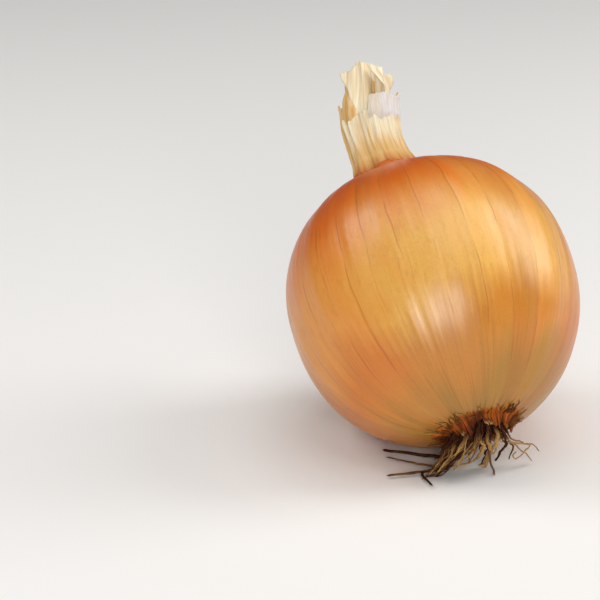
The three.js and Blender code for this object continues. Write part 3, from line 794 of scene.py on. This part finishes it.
def bulb_place(sizes, ring, angle):
    """Where a ring of the bulb is at an angle, with its collar, climb, lip and fold masks. The fold mask is
    painted shade: full in the recess, fading under the lip, in the folds between the lobes, and stronger
    towards the fringe's tip.
    """
    kind, share = ring
    fold = 1 - fringe_lobe(angle)
    if kind == "floor":
        return round_axis(angle, RECESS_RADIUS * share, RECESS_TOP), (1, 0, 0, 1)
    if kind == "wall":
        wall = round_axis(angle, RECESS_RADIUS + RECESS_FLARE * share, RECESS_TOP - RECESS_WALL * share)
        return wall, (1, 0, 0, 1)
    if kind == "under":
        outer = round_axis(angle, RECESS_RADIUS, RECESS_TOP - RECESS_RIM)
        inner = fringe_tip(sizes, angle) * (1 - LIP_THICK)
        return outer.lerp(inner, share), (1, 0, share ** 3 * fringe_pale(angle), 1 - share)
    if kind == "fringe":
        pale = (1 - smoothstep(0.0, 0.3, share)) * fringe_pale(angle)
        # Painted shade, in the folds and more towards the tip
        shaded = fold + 0.6 * (1 - smoothstep(0.1, 0.75, share))
        return fringe_place(sizes, angle, share), (1, 0, pale, min(1.0, shaded))
    if kind == "collar":
        radius = between((FRINGE_RADIUS, COLLAR_START), share)
        near = 1 - smoothstep(FRINGE_RADIUS, COLLAR_START, radius + 0.5 * (radius - collar_edge(angle)))
        return base_place(sizes, angle, radius), (near, 0, 0, fold * near ** 2)
    if kind == "body":
        low = -polar_at(sizes, COLLAR_START, BASE_FULLNESS)
        high = polar_at(sizes, CLIMB_START, CROWN_FULLNESS)
        polar = between((low, high), share)
        return body_place(sizes, angle, *crown_profile(sizes, polar), polar), (0, 0, 0, 0)
    if kind == "climb":
        return climb_place(sizes, angle, share), (0, smoothstep(0.3, 1.0, share), 0, 0)
    middle = neck_middle(0) + Vector((0, 0, sizes.crown_height))
    return neck_point(sizes, angle, 0, -1.5 * MM).lerp(middle, share), (0, 1, 0, 0)


class ONION_OT_bulb(bpy.types.Operator):
    """Makes the bulb in its skin, with the torn skin round the roots and at the foot of the neck"""

    bl_idname = "onion.bulb"
    bl_label = "Bulb"

    def execute(self, context):
        sizes, colours = context.scene.onion_sizes, context.scene.onion_colours
        rings = bulb_rings()
        bm = bmesh.new()
        bmesh.ops.create_uvsphere(bm, u_segments=BULB_COLUMNS, v_segments=len(rings) - 1, radius=1)
        masks = [bm.verts.layers.float.new(name) for name in SKIN_MASKS]

        def move(co, vert):
            share = 1 - math.acos(max(-1.0, min(1.0, co.z))) / math.pi
            ring = rings[round(share * (len(rings) - 1))]
            place, weights = bulb_place(sizes, ring, math.atan2(co.y, co.x))
            for mask, weight in zip(masks, weights):
                vert[mask] = weight
            return set_aside(place)

        reshape(bm, move)
        bmesh.ops.transform(bm, matrix=leaning(sizes), verts=bm.verts)
        for vert in bm.verts:
            vert.co.z = max(vert.co.z, 0.0)
        for face in bm.faces:
            face.material_index = int(min(vert[masks[0]] for vert in face.verts) > TORN_FROM)
        bmesh.ops.recalc_face_normals(bm, faces=bm.faces)
        skin = skin_material(sizes, colours, "cured_onion_skin", specular=0.5, coat=0.18)
        torn_skin = skin_material(sizes, colours, "torn_onion_skin", specular=0.12, coat=0.0)
        finish_piece(bm, "bulb_in_skin", [skin, torn_skin], ["bulb"])
        return {"FINISHED"}


# The neck

def folded(angle, height, depth, seed, count=13):
    """Sharp lengthwise folds in a dried leaf, which slant a little as they climb."""
    slant = angle + height * 9.0
    crease = 1 - abs(ruffle(slant, count, seed, height * 22)) * 2
    return depth * (crease + 0.35 * ruffle(slant, 3 * count, seed + 1, height * 30) - 0.3)


def sheath_place(sizes, u, v):
    angle = 2 * math.pi * u - math.pi
    degrees = wrapped(angle)
    top = torn(SHEATH_EDGE, degrees, angle, 20, 0.7)
    height = between((NECK_FOOT, top), v)
    frayed = smoothstep(0.7, 1.0, v)
    outward = folded(angle, height, 0.45 * MM, 23) * above(height, -2, 5)
    outward += frayed * MM * (0.1 + 0.5 * ruffle(angle, 9, 25))
    spurs = max(0.0, 1 - abs(degrees + 5) / 14) + max(0.0, 1 - (180 - abs(degrees)) / 16)
    outward += spurs * 0.8 * MM * above(height, 23, 28)
    # Golden and brown at the left and the foot, pale where it is wrinkled at the front
    left = smoothstep(-148, -160, degrees) if degrees < 0 else smoothstep(120, 160, degrees)
    foot = 1 - above(height, 0, 12)
    low = 1 - above(height, 7, 17)
    right = smoothstep(-40, -20, degrees) * (1 - smoothstep(60, 100, degrees)) * above(height, 15, 20)
    brown = max(0.08 + 0.5 * low, 0.6 * left, 1.35 * foot, 0.5 * right)
    return neck_point(sizes, angle, height, outward), brown


def inner_leaf_place(sizes, u, v):
    height = 34 * MM * v
    for _ in range(3):
        slant = (along_line(LEAF_START, height / MM) - LEAF_FIRST) * (1 - smoothstep(0.0, 0.25, u))
        degrees = LEAF_FIRST + LEAF_TURN * u + slant
        angle = math.radians(degrees)
        top = torn(LEAF_EDGE, degrees, angle, 30, 0.3)
        height = between((NECK_FOOT, top), v)
    frayed = smoothstep(0.72, 1.0, v)
    outward = folded(angle, height, 0.3 * MM, 33, 8) - 1.1 * MM + between((0.7, -0.9), u) * MM
    outward -= 1.2 * MM * (1 - above(height, 8, 16))
    outward += frayed * MM * (0.3 + 0.6 * ruffle(angle, 6, 35))
    high = above(height, 22, 26)
    # The free edge stands off, and the leaf's other end turns in beneath it and leaves a hollow
    free = 1 - smoothstep(0.0, 0.035, u)
    sunk = smoothstep(262, 300, degrees)
    outward += 1.1 * MM * free * high - 2.9 * MM * sunk * high - 1.2 * MM * smoothstep(300, 350, degrees)
    # A pleat at the left, steep on its left side
    past = degrees - 360 - along_line(LEAF_PLEAT, height / MM)
    pleat = smoothstep(-5, 0, past) * math.exp(-max(0.0, past) / 22)
    outward += 1.3 * MM * pleat * smoothstep(0.4, 0.5, u)
    # It narrows at the right above the outer leaf, and flares at its tip
    waist = max(0.0, 1 - abs(degrees + 8) / 45) * (1 - above(height, 26, 30)) * high
    flare = max(0.0, 1 - abs(degrees - 2) / 25) * above(height, 28, 30)
    outward += 0.3 * MM * flare - 1.9 * MM * waist
    left = smoothstep(150, 175, degrees) * (1 - smoothstep(-7, -2, past))
    outward += 1.5 * MM * left * above(height, 17, 22) * (1 - above(height, 27, 31))
    # How brown it is: its own straw, with painted shade on the left panel beyond the pleat and in the hollow,
    # and a painted highlight, paler, on the pleat's ridge and at the free edge
    shade = 0.15 + 0.42 * left - 0.1 * pleat + 0.5 * sunk * smoothstep(0, 30, degrees - 265) - 0.1 * free
    return neck_point(sizes, angle, height, outward), min(1.0, max(0.0, shade))


def peel_place(sizes, u, v):
    degrees = between((-90, 4), u)
    angle = math.radians(degrees)
    top = torn(PEEL_EDGE, degrees, angle, 40, 0.25)
    height = between((14 * MM, top), v)
    outward = folded(angle, height, 0.1 * MM, 43) + between((-1.3, 0.2), above(height, 16, 19.5)) * MM
    outward += above(height, 23, 26) * 0.8 * MM * smoothstep(-70, -20, degrees)
    return neck_point(sizes, angle, height, outward), 0.1 + 0.5 * smoothstep(-45, -85, degrees)


def make_leaf(sizes, name, shape, grid, wall, look, nodes=()):
    bm = sheet(*grid, partial(shape, sizes))
    give_wall(bm, wall)
    bmesh.ops.transform(bm, matrix=leaning(sizes), verts=bm.verts)
    finish_piece(bm, name, [look], nodes)


class ONION_OT_neck_sheath(bpy.types.Operator):
    """Makes the outer dried leaf of the neck, torn short"""

    bl_idname = "onion.neck_sheath"
    bl_label = "Neck sheath"

    def execute(self, context):
        sizes, colours = context.scene.onion_sizes, context.scene.onion_colours
        look = leaf_material("dried_outer_leaf", colours.sheath, colours.straw, colours.stain)
        make_leaf(
            sizes, "outer_leaf", sheath_place, SHEATH_GRID, sizes.leaf_wall, look,
            ["neck_sheath"],
        )
        return {"FINISHED"}


class ONION_OT_inner_leaf(bpy.types.Operator):
    """Makes the rolled inner leaf of the neck and the thin skin that peels from it"""

    bl_idname = "onion.inner_leaf"
    bl_label = "Inner leaf"

    def execute(self, context):
        sizes, colours = context.scene.onion_sizes, context.scene.onion_colours
        look = leaf_material("dried_inner_leaf", colours.paper, colours.straw, colours.stain)
        make_leaf(
            sizes, "inner_leaf", inner_leaf_place, LEAF_GRID, sizes.leaf_wall, look,
            ["neck_inner_leaf"],
        )
        thin = leaf_material("peeling_leaf_skin", colours.peel, colours.peel_old, colours.straw)
        make_leaf(sizes, "peeling_skin", peel_place, PEEL_GRID, PEEL_WALL, thin)
        return {"FINISHED"}


# The roots

def clear_of_bulb(sizes, place, point, radius):
    """Pushes a point out of the bulb, with room for a root of this radius."""
    local = place.inverted() @ point
    depth = sizes.crown_height if local.z > 0 else sizes.base_depth
    flat = math.hypot(local.x, local.y)
    fill = math.hypot(flat / sizes.bulb_radius, local.z / depth)
    wanted = 1 + (radius + ROOT_GAP) / sizes.bulb_radius
    if fill > wanted or (local.z < 0 and flat < PLATE_RADIUS - radius):
        return point
    return place @ (local * (wanted / fill))


def root_start(place, angle, out):
    """Where a root leaves the plate, out from its middle, and the way that it heads."""
    way = round_axis(angle, ROOT_SPLAY, -1).normalized()
    return place @ round_axis(angle, out, ROOT_START), place.to_3x3() @ way


def long_root_points(sizes, place, root):
    angle, out, thick, _, through = root
    reach = (PLATE_RADIUS - thick * MM / 2) * out
    start, way = root_start(place, math.radians(angle), reach)
    free = [clear_of_bulb(sizes, place, Vector(point) * MM, thick * MM / 2) for point in through]
    return [start, start + way * ROOT_LEAVE, *free]


def short_root_points(sizes, place, group, k, index, radius):
    """Out of the plate, down to the floor, and along it."""
    _, middle, spread, heading, fan, lengths, _, _, curl = group
    angle = math.radians(middle + spread * (draw(index, k) - 0.5))
    reach = (PLATE_RADIUS - radius) * math.sqrt(between((0.1, 0.9), draw(index, k + 10)))
    step = between(lengths, draw(index, k + 20)) * MM / ROOT_STEPS
    toward = math.radians(heading + 2 * fan * (draw(index, k + 30) - 0.5))
    run = round_axis(toward, 1)
    aside = Vector((-run.y, run.x, 0))
    point, way = root_start(place, angle, reach)
    points = [point.copy()]
    for i in range(ROOT_STEPS):
        share = i / ROOT_STEPS
        way.z -= ROOT_SAG * (1 - share / 2)
        way += run * ROOT_SAG * (ROOT_DRIFT + share) + aside * curl * (draw(index * 17 + i, k + 40) - 0.5)
        way.normalize()
        point = point + way * step
        if i > 0:
            point = clear_of_bulb(sizes, place, point, radius)
        if point.z < radius + FLOOR_CLEARANCE:
            point.z = radius + FLOOR_CLEARANCE
            way.z = 0
            way.normalize()
        points.append(point.copy())
    return points


def shred_points(sizes, place, index):
    """A dry fibre of skin, from the torn fringe outwards over the base."""
    angle = 2 * math.pi * draw(index, 81)
    radius = FRINGE_RADIUS + MM * between((-0.6, 1.2), draw(index, 82))
    reach = between(SHRED_LENGTHS, draw(index, 83)) * MM * (1 + 0.5 * ruffle(angle, 5, 51))
    lift = between(SHRED_LIFTS, draw(index, 84) ** 2) * MM
    bend = 0.35 * (draw(index, 85) - 0.5)
    points = []
    for i in range(5):
        share = i / 4
        spot = base_place(sizes, angle + bend * share ** 2, radius + reach * share)
        spot += spot.normalized() * (0.05 * MM + lift * share ** 1.5)
        points.append(place @ set_aside(spot))
    return points


def add_root(bm, seed, points, thick, pale, rows=ROOT_ROWS, dark=ROOT_DARK_AND_SHADE):
    """Wraps a grid round a line as a tapered, shrivelled root, closed at both ends."""
    line = curve_through(points)
    stray = MM * (0.5 + 0.7 * pale) * min(1.0, (points[-1] - points[0]).length / (12 * MM))
    tone = bm.verts.layers.float["pale"]
    old = set(bm.verts)
    bmesh.ops.create_grid(bm, x_segments=ROOT_SIDES, y_segments=rows, size=0.5, calc_uvs=True)
    new = [vert for vert in bm.verts if vert not in old]
    for vert in new:
        u, v = vert.co.x + 0.5, vert.co.y + 0.5
        here = line(v)
        way = (line(min(1, v + 0.02)) - line(max(0, v - 0.02))).normalized()
        side = way.cross(Vector((0.3, 0.2, 1))).normalized()
        other = way.cross(side)
        wander, kinks = (
            Vector([noise.noise((v * waves, seed * 3.7 + axis * 9.1, level)) for axis in range(3)])
            for waves, level in ((5, 0.5), (15, 8.5))
        )
        here = here + (wander + 0.35 * kinks) * stray * math.sin(math.pi * v) ** 0.5
        turn = 2 * math.pi * u
        knobbly = 1 + 0.22 * noise.noise((math.cos(turn), math.sin(turn) + seed, v * 9))
        knobbly += 0.18 * noise.noise((seed * 2.1, 0.0, v * 14))
        taper = between((1.15, 0.55), v) * min(1.0, v * 400) * min(1.0, (1 - v) * 60)
        radius = thick / 2 * taper * knobbly
        vert.co = here + (side * math.cos(turn) + other * 0.7 * math.sin(turn)) * radius
        vert.co.z = max(vert.co.z, FLOOR_CLEARANCE / 2)
        hidden = (here - points[0]).length
        # How pale: darker near the plate, partly painted shade in the crevice there
        vert[tone] = (pale + 0.5 * (draw(seed, 71) - 0.5)) * smoothstep(dark[0], dark[1], hidden)
    bmesh.ops.remove_doubles(bm, verts=new, dist=0.002 * MM)


class ONION_OT_roots(bpy.types.Operator):
    """Makes the root plate and the dry roots that grow from it"""

    bl_idname = "onion.roots"
    bl_label = "Roots"

    def execute(self, context):
        sizes, colours = context.scene.onion_sizes, context.scene.onion_colours
        place = leaning(sizes)
        bm = bmesh.new()
        bm.loops.layers.uv.new("UVMap")
        bm.verts.layers.float.new("pale")
        bmesh.ops.create_uvsphere(bm, u_segments=48, v_segments=24, radius=1, calc_uvs=True)

        def plate(co, vert):
            bumps = 0.35 * MM * noise.noise(co * 6)
            height = PLATE_FACE + PLATE_DEPTH / 2 + co.z * PLATE_DEPTH / 2 + bumps
            return place @ Vector((co.x * PLATE_RADIUS, co.y * PLATE_RADIUS, height))

        reshape(bm, plate)
        roots = []
        for root in LONG_ROOTS:
            _, _, thick, pale, _ = root
            thick *= MM * between((1, ROOT_SHARE), min(1, 2 * pale))
            roots.append((long_root_points(sizes, place, root), thick, pale))
        for k, group in enumerate(ROOT_GROUPS):
            for index in range(group[0]):
                thick = between(group[6], draw(index, k + 60)) * MM
                roots.append((short_root_points(sizes, place, group, k, index, thick / 2), thick, group[7]))
        for index in range(SHREDS):
            thick = between(SHRED_THICKNESSES, draw(index, 86)) * MM
            roots.append((shred_points(sizes, place, index), thick, 0.25, SHRED_ROWS, (-1.0, 0.0)))
        for seed, root in enumerate(roots):
            add_root(bm, seed, *root)
        bmesh.ops.recalc_face_normals(bm, faces=bm.faces)
        finish_piece(bm, "root_tuft", [root_material(colours)], ["roots"])
        return {"FINISHED"}


# The stage

def soft_light(name, direction, distance, size, power):
    """A studio light that faces the bulb."""
    light = bpy.data.lights.new(name, "AREA")
    light.shape = "RECTANGLE"
    light.size, light.size_y = size
    light.energy = power
    lamp = bpy.data.objects.new(name, light)
    way = Vector(direction).normalized()
    lamp.location = Vector((0, 0, MIDDLE_HEIGHT)) + way * distance
    lamp.rotation_euler = way.to_track_quat("Z", "Y").to_euler()
    bpy.context.scene.collection.objects.link(lamp)


class ONION_OT_stage(bpy.types.Operator):
    """Makes the plain floor, the soft studio light and the camera at the photograph's angle"""

    bl_idname = "onion.stage"
    bl_label = "Stage"

    def execute(self, context):
        sizes, colours = context.scene.onion_sizes, context.scene.onion_colours
        bm = bmesh.new()
        bmesh.ops.create_circle(bm, cap_ends=True, segments=96, radius=FLOOR_RADIUS)
        mesh = bpy.data.meshes.new("floor")
        bm.to_mesh(mesh)
        bm.free()
        mesh.materials.append(floor_material(colours))
        floor = bpy.data.objects.new("floor", mesh)
        context.scene.collection.objects.link(floor)

        for name, settings in LIGHTS.items():
            soft_light(name, *settings)
        world = bpy.data.worlds.new("studio_air")
        world.use_nodes = True
        background = world.node_tree.nodes["Background"].inputs
        background["Color"].default_value = (1, 1, 1, 1)
        background["Strength"].default_value = AIR_LIGHT
        context.scene.world = world
        context.scene.view_settings.view_transform = "Standard"

        lift = math.radians(CAMERA_ELEVATION)
        ahead = Vector((0, math.cos(lift), -math.sin(lift)))
        up = Vector((0, math.sin(lift), math.cos(lift)))
        aside = (BULB_PIXEL[0] - PHOTO_PIXELS / 2) / PIXELS_PER_METRE
        higher = (PHOTO_PIXELS / 2 - BULB_PIXEL[1]) / PIXELS_PER_METRE
        lens = bpy.data.cameras.new("camera")
        lens.sensor_width = SENSOR
        lens.lens = SENSOR * PIXELS_PER_METRE * sizes.camera_distance / PHOTO_PIXELS
        lens.clip_start = 10 * MM
        camera = bpy.data.objects.new("camera", lens)
        camera.location = Vector((0, 0, MIDDLE_HEIGHT)) - ahead * sizes.camera_distance
        camera.location -= Vector((aside, 0, 0)) + up * higher
        camera.rotation_euler = (math.pi / 2 - lift, 0, 0)
        context.scene.collection.objects.link(camera)
        context.scene.camera = camera
        return {"FINISHED"}


class ONION_PT_panel(bpy.types.Panel):
    """Lists the onion's pieces, sizes and colours"""

    bl_label = "Yellow onion"
    bl_idname = "ONION_PT_panel"
    bl_space_type = "VIEW_3D"
    bl_region_type = "UI"
    bl_category = "Onion"

    def draw(self, context):
        for piece in OPERATORS:
            self.layout.operator(piece.bl_idname)
        for group in (context.scene.onion_sizes, context.scene.onion_colours):
            box = self.layout.box()
            for name in group.__annotations__:
                box.prop(group, name)


OPERATORS = (ONION_OT_stage, ONION_OT_bulb, ONION_OT_neck_sheath, ONION_OT_inner_leaf, ONION_OT_roots)
CLASSES = (OnionSizes, OnionColours, *OPERATORS, ONION_PT_panel)


def register():
    for made in CLASSES:
        bpy.utils.register_class(made)
    bpy.types.Scene.onion_sizes = PointerProperty(type=OnionSizes)
    bpy.types.Scene.onion_colours = PointerProperty(type=OnionColours)


def unregister():
    del bpy.types.Scene.onion_colours
    del bpy.types.Scene.onion_sizes
    for made in reversed(CLASSES):
        bpy.utils.unregister_class(made)


def main():
    register()
    bpy.ops.onion.stage()
    bpy.ops.onion.bulb()
    bpy.ops.onion.neck_sheath()
    bpy.ops.onion.inner_leaf()
    bpy.ops.onion.roots()


if __name__ == "__main__":
    main()
